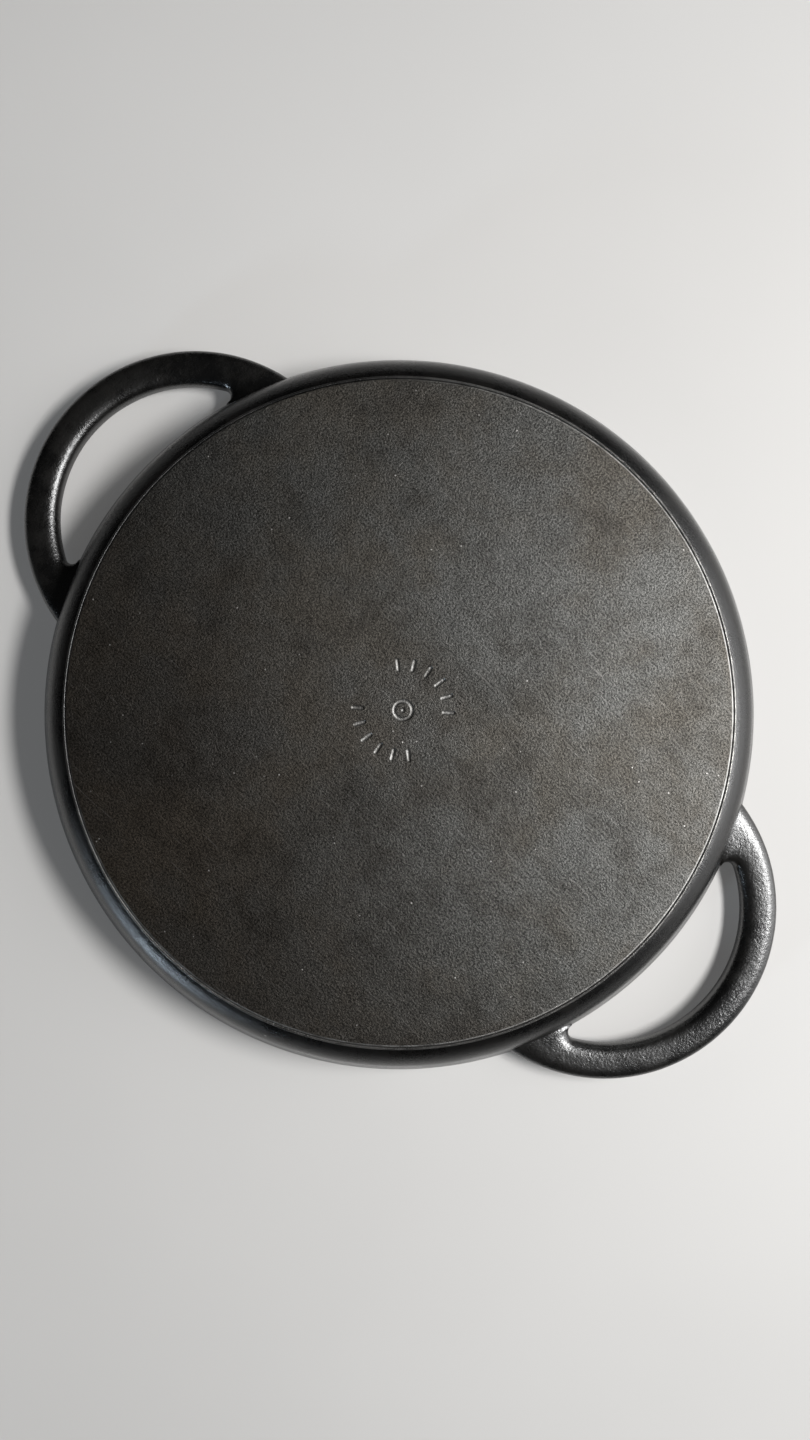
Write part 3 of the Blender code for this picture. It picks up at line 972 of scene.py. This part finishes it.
def specks_group():
    """Small bright nicks, few or many as the share says."""
    tree, given, result = new_group(
        "Bright Specks", {"Vector": "Vector", "Scale": "Float", "Share": "Float"},
        {"Mask": "Float"})
    cells = add_node(
        tree, "ShaderNodeTexVoronoi", {"Vector": given["Vector"], "Scale": given["Scale"]})
    chance = add_node(tree, "ShaderNodeSeparateColor", {0: cells.outputs["Color"]}).outputs[0]
    chosen = work_out(tree, "LESS_THAN", chance, given["Share"])
    near = remap(tree, cells.outputs["Distance"], 0.06, 0.22, 1.0, 0.0)
    tree.links.new(work_out(tree, "MULTIPLY", chosen, near), result["Mask"])
    return tree


def rubbed_edge_group():
    """Where an edge is rubbed: from one place across it to another, broken up by a noise."""
    tree, given, result = new_group(
        "Rubbed Edge",
        {"Vector": "Vector", "Across": "Float", "Start": "Float", "End": "Float"},
        {"Mask": "Float"})
    band = remap(tree, given["Across"], given["Start"], given["End"])
    breaks = noise(tree, given["Vector"], WEAR_BREAKS, 3.0, 0.6)
    uneven = remap(tree, breaks, 0.30, 0.62, 0.35, 1.0)
    tree.links.new(work_out(tree, "MULTIPLY", band, uneven), result["Mask"])
    return tree


GROUPS = {
    "Cast Grain": cast_grain_group,
    "Seasoning Patches": seasoning_group,
    "Fine Scratches": scratches_group,
    "Bright Specks": specks_group,
    "Rubbed Edge": rubbed_edge_group,
}


def effect(tree, name, feeds):
    """The outputs of a shared effect. Its group is built the first time it is used."""
    group = bpy.data.node_groups.get(name) or GROUPS[name]()
    return add_node(tree, "ShaderNodeGroup", feeds, node_tree=group).outputs


def new_material(name):
    """A material with its tree, its shader and the piece's own coordinates."""
    material = bpy.data.materials.new(name)
    material.use_nodes = True
    tree = material.node_tree
    place = tree.nodes.new("ShaderNodeTexCoord").outputs["Object"]
    return material, tree, tree.nodes["Principled BSDF"], place


def set_bump(tree, shader, height, distance):
    """Let a height pattern disturb the shader's normal. The distance is that of a height of 1."""
    bump = add_node(tree, "ShaderNodeBump", {"Height": height, "Distance": distance})
    tree.links.new(bump.outputs["Normal"], shader.inputs["Normal"])


def towards_side(tree, place, turn):
    """How far a place lies from the axis towards one side of the pan."""
    side = (math.cos(turn), math.sin(turn), 0.0)
    return add_node(tree, "ShaderNodeVectorMath", {0: place, 1: side},
                    operation="DOT_PRODUCT").outputs["Value"]


def rub_and_light_share(tree, place):
    """How much an edge has been rubbed and lit, as wear and painted highlight: least on the side away
    from the lamp, which is kept dark as painted shade.
    """
    return remap(tree, towards_side(tree, place, UNWORN_SHADED_SIDE), 0.02, 0.10, 1.0, 0.05)


def worn_and_lit_mask(tree, place, across, start, end):
    """Where an edge is rubbed: from start to end across it, and less on the side away from the lamp,
    which is kept dark as painted shade.
    """
    rubbed = effect(tree, "Rubbed Edge", {
        "Vector": place, "Across": across, "Start": start, "End": end})
    return work_out(tree, "MULTIPLY", rubbed["Mask"], rub_and_light_share(tree, place))


def underside_iron(iron, top, edge):
    """Bare, dry seasoned iron: pebbled, brown-black with greyer patches and a worn edge, darker and
    warmer towards one side.
    """
    material, tree, shader, place = new_material("Underside iron")
    grain = effect(tree, "Cast Grain", {"Vector": place, "Scale": UNDERSIDE_GRAIN})
    patches = effect(tree, "Seasoning Patches", {
        "Vector": place, "Scale": UNDERSIDE_PATCHES, "First": opaque(iron.warm_iron),
        "Second": opaque(iron.cool_iron), "Dark": opaque(iron.burnt_iron), "Dark Share": 0.66})
    grain_tone = remap(tree, grain["Tone"], 0.15, 0.85, 0.38, 1.58)
    mottling = noise(tree, place, UNDERSIDE_MOTTLE, 4.0, 0.65)
    mottle = remap(tree, mottling, 0.3, 0.7, 0.89, 1.10)
    tone = work_out(tree, "MULTIPLY", grain_tone, mottle)
    base = mix(tree, 1.0, patches["Color"], tone, "MULTIPLY")
    # The underside is darker and warmer towards one side
    towards_darker = remap(tree, towards_side(tree, place, DARKER_WARMER_SIDE), -0.03, 0.13)
    tint = mix(tree, towards_darker, opaque(iron.lighter_side_tint), opaque(iron.darker_side_tint))
    base = mix(tree, 1.0, base, tint, "MULTIPLY")
    specks = effect(tree, "Bright Specks", {
        "Vector": place, "Scale": UNDERSIDE_NICKS, "Share": 0.016})
    base = mix(tree, specks["Mask"], base, opaque(iron.bright_iron))
    scratches = effect(tree, "Fine Scratches", {"Vector": place, "Scale": UNDERSIDE_SCRATCHES})
    faint = work_out(tree, "MULTIPLY", scratches["Mask"], 0.10)
    base = mix(tree, faint, base, opaque(iron.bright_iron))
    height = add_node(tree, "ShaderNodeSeparateXYZ", {0: place}).outputs["Z"]
    radius = add_node(tree, "ShaderNodeVectorMath", {
        0: mapped(tree, place, scale=(1.0, 1.0, 0.0))}, operation="LENGTH").outputs["Value"]
    # Bare worn edge, lighter on the lamp's side and kept dark away from it: wear and painted shade
    edge_heights = [top - drop for drop in EDGE_WEAR_DROP]
    edge_radii = [edge + run for run in EDGE_WEAR_RUN]
    for across, (start, end) in ((height, edge_heights), (radius, edge_radii)):
        mask = worn_and_lit_mask(tree, place, across, start, end)
        base = mix(tree, mask, base, opaque(iron.bare_edge))
    tree.links.new(base, shader.inputs["Base Color"])
    rough = remap(tree, patches["Patch"], 0.0, 1.0,
                  iron.underside_roughness + 0.03, iron.underside_roughness - 0.03)
    tree.links.new(rough, shader.inputs["Roughness"])
    shader.inputs["Metallic"].default_value = 1.0
    set_bump(tree, shader, grain["Height"], UNDERSIDE_BUMP)
    return material


def satin_iron(name, iron, bands, second_tone, roughness, gloss, peel_scale, peel_height):
    """Oiled black iron with an orange-peel skin, rubbed to metal in bands between heights, which are
    lighter on the lamp's side as a painted highlight.
    """
    material, tree, shader, place = new_material(name)
    # The second tone: worn brown-black on the wall, and on the handles lighter patches that are
    # partly worn iron and partly a painted sheen
    patches = effect(tree, "Seasoning Patches", {
        "Vector": place, "Scale": SATIN_PATCHES, "First": opaque(iron.satin_black),
        "Second": opaque(second_tone), "Dark": opaque(iron.satin_black), "Dark Share": 0.5})
    base = patches["Color"]
    metal = 0.0
    for start, end in bands:
        height = add_node(tree, "ShaderNodeSeparateXYZ", {0: place}).outputs["Z"]
        mask = worn_and_lit_mask(tree, place, height, start, end)
        base = mix(tree, mask, base, opaque(iron.rubbed_edge_and_highlight))
        metal = work_out(tree, "MAXIMUM", metal, mask)
    if bands:
        tree.links.new(metal, shader.inputs["Metallic"])
    grain = effect(tree, "Cast Grain", {"Vector": place, "Scale": peel_scale})
    specks = effect(tree, "Bright Specks", {
        "Vector": place, "Scale": SATIN_NICKS, "Share": 0.006})
    faint = work_out(tree, "MULTIPLY", specks["Mask"], 0.4)
    base = mix(tree, faint, base, opaque(iron.bright_iron))
    tree.links.new(base, shader.inputs["Base Color"])
    rough = remap(tree, work_out(tree, "ADD", grain["Tone"], patches["Patch"]), 0.2, 1.8,
                  roughness - 0.04, roughness + 0.05)
    tree.links.new(rough, shader.inputs["Roughness"])
    shader.inputs["Specular IOR Level"].default_value = gloss
    set_bump(tree, shader, grain["Height"], peel_height)
    return material


def cooking_iron(iron):
    """Seasoned inside of the pan: baked oil over pebbled iron. All its pieces share it."""
    made = bpy.data.materials.get("Cooking iron")
    if made:
        return made
    material, tree, shader, place = new_material("Cooking iron")
    grain = effect(tree, "Cast Grain", {"Vector": place, "Scale": COOKING_GRAIN})
    patches = effect(tree, "Seasoning Patches", {
        "Vector": place, "Scale": COOKING_PATCHES, "First": opaque(iron.cooking_black),
        "Second": opaque(iron.worn_black), "Dark": opaque(iron.satin_black), "Dark Share": 0.7})
    tree.links.new(patches["Color"], shader.inputs["Base Color"])
    rough = remap(tree, grain["Tone"], 0.1, 0.9,
                  iron.cooking_roughness - 0.06, iron.cooking_roughness + 0.10)
    tree.links.new(rough, shader.inputs["Roughness"])
    set_bump(tree, shader, grain["Height"], COOKING_BUMP)
    return material


# Stage

def seen_rays(tree):
    """1 for rays that show a thing: straight to the camera, by a gloss or through glass."""
    rays = tree.nodes.new("ShaderNodeLightPath").outputs
    shown = work_out(tree, "MAXIMUM", rays["Is Camera Ray"], rays["Is Glossy Ray"])
    return work_out(tree, "MAXIMUM", shown, rays["Is Transmission Ray"])


def make_floor(studio):
    """A wide plain floor: a disc under the pan, and a broad ring drawn out from its edge."""
    leave_all()
    bpy.ops.mesh.primitive_circle_add(
        vertices=96, radius=FLOOR_DISC, fill_type="NGON", location=(0, 0, -studio.floor_gap))
    floor = begin_edit("studio_floor")
    pick(floor, "EDGE", lambda edge: True)
    ring_out(FLOOR_DISC, studio.floor_radius, 0.0)
    close_shape()
    material, tree, shader, place = new_material("Pale floor")
    faint = remap(tree, noise(tree, place, 6.0, 3.0), 0.3, 0.7)
    paler = [min(1.0, part * 1.03) for part in studio.floor_colour]
    base = mix(tree, faint, opaque(studio.floor_colour), opaque(paler))
    tree.links.new(base, shader.inputs["Base Color"])
    shader.inputs["Roughness"].default_value = 0.7
    shader.inputs["Specular IOR Level"].default_value = 0.2
    distance = add_node(tree, "ShaderNodeVectorMath", {0: place}, operation="LENGTH")
    lift = remap(tree, distance.outputs["Value"], studio.glow_start, studio.glow_end,
                 studio.floor_glow, studio.far_glow)
    glow = work_out(tree, "MULTIPLY", lift, seen_rays(tree))
    tree.links.new(glow, shader.inputs["Emission Color"])
    shader.inputs["Emission Strength"].default_value = 1.0
    material.cycles.emission_sampling = "NONE"
    floor.data.materials.append(material)


def make_key(studio):
    """The main lamp: wide, soft and near the pan, which it faces."""
    lamp = bpy.data.lights.new("key_lamp", "AREA")
    lamp.shape = "ELLIPSE"
    lamp.size = studio.key_width
    lamp.size_y = studio.key_tall
    lamp.energy = studio.key_power
    key = bpy.data.objects.new("key_lamp", lamp)
    key.location = Matrix.Rotation(studio.key_azimuth, 3, "Z") @ Vector(
        (studio.key_reach, 0.0, studio.key_height))
    key.rotation_euler = key.location.to_track_quat("Z", "Y").to_euler()
    key.visible_camera = False
    bpy.context.scene.collection.objects.link(key)


def make_sun(name, strength, rgb, azimuth, elevation, spread):
    """A lamp that is so far off that its light is even all over."""
    lamp = bpy.data.lights.new(name, "SUN")
    lamp.energy = strength
    lamp.color = rgb
    lamp.angle = spread
    sun = bpy.data.objects.new(name, lamp)
    sun.rotation_euler = (0.0, math.pi / 2 - elevation, azimuth)
    bpy.context.scene.collection.objects.link(sun)


def make_room(studio):
    """The soft light of a dim room with a broad window, before a pale backdrop."""
    world = bpy.data.worlds.new("Soft room")
    world.use_nodes = True
    tree = world.node_tree
    direction = tree.nodes.new("ShaderNodeTexCoord").outputs["Generated"]
    height = add_node(tree, "ShaderNodeSeparateXYZ", {0: direction}).outputs["Z"]
    sky = mix(tree, remap(tree, height, 0.2, 1.0), opaque(studio.sky_low),
              opaque(studio.sky_high))
    across = math.cos(studio.window_elevation)
    window = (across * math.cos(studio.window_azimuth), across * math.sin(studio.window_azimuth),
              math.sin(studio.window_elevation))
    towards = add_node(
        tree, "ShaderNodeVectorMath", {0: direction, 1: window}, operation="DOT_PRODUCT")
    glow = remap(tree, towards.outputs["Value"], math.cos(studio.window_spread), 1.0,
                 0.0, studio.window_strength)
    lit = mix(tree, 1.0, sky, glow, "ADD")
    low = remap(tree, height, 0.0, MIRRORED_BAND, 1.0, 0.0)
    rays = tree.nodes.new("ShaderNodeLightPath").outputs
    mirrored = work_out(tree, "MULTIPLY", low, seen_rays(tree))
    shown = work_out(tree, "MAXIMUM", rays["Is Camera Ray"], mirrored)
    pale = opaque([studio.backdrop] * 3)
    tree.links.new(mix(tree, shown, lit, pale), tree.nodes["Background"].inputs["Color"])
    bpy.context.scene.world = world


def make_camera(studio):
    """The camera almost straight above the pan."""
    lens = bpy.data.cameras.new("view_from_above")
    lens.lens = studio.focal_length
    lens.sensor_width = 36.0
    lens.sensor_fit = "AUTO"
    lens.shift_x = studio.lens_shift
    camera = bpy.data.objects.new("view_from_above", lens)
    camera.location = studio.camera_place
    camera.rotation_euler = studio.camera_turn
    bpy.context.scene.collection.objects.link(camera)
    bpy.context.scene.camera = camera


# Operators

class PanUnderside(Operator):
    """Model the pan's floor: underside with its sunk mark, and cooking face"""

    bl_idname = "grill_pan.underside"
    bl_label = "Underside"

    def execute(self, context):
        """Model the floor, sink the mark and give both sides their iron."""
        pan = context.scene.grill_pan
        piece = model_floor(pan.body)
        edge = floor_edge(pan.body)[0][0]
        sink_mark(piece, model_mark(pan.mark, pan.body.height))
        finish_piece(piece, ["pan_floor"],
                     [underside_iron(pan.iron, pan.body.height, edge), cooking_iron(pan.iron)])
        use_second_material(piece, lambda face: face.normal.z < -0.3)
        return {"FINISHED"}


class PanWall(Operator):
    """Turn the flared side wall with its bead, shoulder and rim"""

    bl_idname = "grill_pan.wall"
    bl_label = "Side wall"

    def execute(self, context):
        """Turn the wall and give its outer and inner side their iron."""
        pan = context.scene.grill_pan
        # Rubbed bands at the bead and the rim; the bead's band is also a painted highlight on the
        # lamp's side
        bands = [[pan.body.height - drop for drop in BEAD_RUB_AND_HIGHLIGHT_DROP], RIM_WEAR_HEIGHT]
        piece = model_wall(pan.body)
        finish_piece(piece, ["side_wall"],
                     [satin_iron("Wall iron", pan.iron, bands, pan.iron.worn_black,
                                 pan.iron.wall_roughness, pan.iron.wall_gloss,
                                 WALL_PEEL, WALL_BUMP),
                      cooking_iron(pan.iron)])
        use_second_material(
            piece, lambda face: face.normal.xy.dot(face.center.xy) < 0
            and face.center.z < pan.body.face_height)
        return {"FINISHED"}


class PanHandles(Operator):
    """Model the two loop handles"""

    bl_idname = "grill_pan.handles"
    bl_label = "Loop handles"

    def execute(self, context):
        """Model one handle, turn a copy of it and give both their iron."""
        pan = context.scene.grill_pan
        right = model_handle(pan.body, pan.handle)
        left = other_handle(right)
        iron = satin_iron("Handle iron", pan.iron, [], pan.iron.worn_handle_and_sheen,
                          pan.iron.handle_roughness, pan.iron.handle_gloss,
                          HANDLE_PEEL, HANDLE_BUMP)
        for piece, node in ((right, "handle_right"), (left, "handle_left")):
            swell(piece, "handle_swell", pan.handle.swell_size, pan.handle.swell_height)
            finish_piece(piece, [node], [iron])
        return {"FINISHED"}


class PanRibs(Operator):
    """Model the ribs of the cooking face"""

    bl_idname = "grill_pan.ribs"
    bl_label = "Ribs"

    def execute(self, context):
        """Model one rib and copy it to the place and length of each node."""
        pan = context.scene.grill_pan
        model = model_rib(pan.body, pan.rib, RIB_HIGH.y)
        for node in RIB_NODES:
            piece = copy_rib(model, node, RIB_HIGH.y)
            swell(piece, "casting_swell", pan.body.swell_size, pan.body.swell_height)
            finish_piece(piece, [node], [cooking_iron(pan.iron)])
        bpy.data.objects.remove(model)
        return {"FINISHED"}


class PanStudio(Operator):
    """Set up the plain floor, the lamps and the camera"""

    bl_idname = "grill_pan.studio"
    bl_label = "Studio"

    def execute(self, context):
        """Make the stage and set how colours are shown."""
        studio = context.scene.grill_pan.studio
        make_floor(studio)
        make_key(studio)
        make_sun("window_sun", studio.side_strength, studio.side_colour, studio.side_azimuth,
                 studio.side_elevation, studio.side_spread)
        make_room(studio)
        make_camera(studio)
        context.scene.view_settings.view_transform = "Standard"
        return {"FINISHED"}


class PanPanel(Panel):
    """Lists the pan's operators and settings in the sidebar"""

    bl_idname = "VIEW3D_PT_grill_pan"
    bl_label = "Grill Pan"
    bl_space_type = "VIEW_3D"
    bl_region_type = "UI"
    bl_category = "Grill Pan"

    def draw(self, context):
        """Show a button for each operator, and the settings under their headings."""
        for operator in OPERATORS:
            self.layout.operator(operator.bl_idname)
        pan = context.scene.grill_pan
        for part in GrillPanSettings.__annotations__:
            box = self.layout.box()
            box.label(text=part.capitalize())
            group = getattr(pan, part)
            for setting in type(group).__annotations__:
                box.prop(group, setting)


OPERATORS = (PanUnderside, PanWall, PanHandles, PanRibs, PanStudio)
SETTINGS = (
    BodySizes, HandleSizes, RibSizes, MarkSizes, IronColours, StudioSettings, GrillPanSettings)


def register():
    """Make the settings, the operators and the panel known to Blender."""
    for item in SETTINGS + OPERATORS + (PanPanel,):
        bpy.utils.register_class(item)
    bpy.types.Scene.grill_pan = PointerProperty(type=GrillPanSettings)


def unregister():
    """Remove the settings, the operators and the panel again."""
    del bpy.types.Scene.grill_pan
    for item in reversed(SETTINGS + OPERATORS + (PanPanel,)):
        bpy.utils.unregister_class(item)


def main():
    """Make the pan and its studio."""
    register()
    bpy.ops.grill_pan.underside()
    bpy.ops.grill_pan.wall()
    bpy.ops.grill_pan.handles()
    bpy.ops.grill_pan.ribs()
    bpy.ops.grill_pan.studio()


if __name__ == "__main__":
    main()
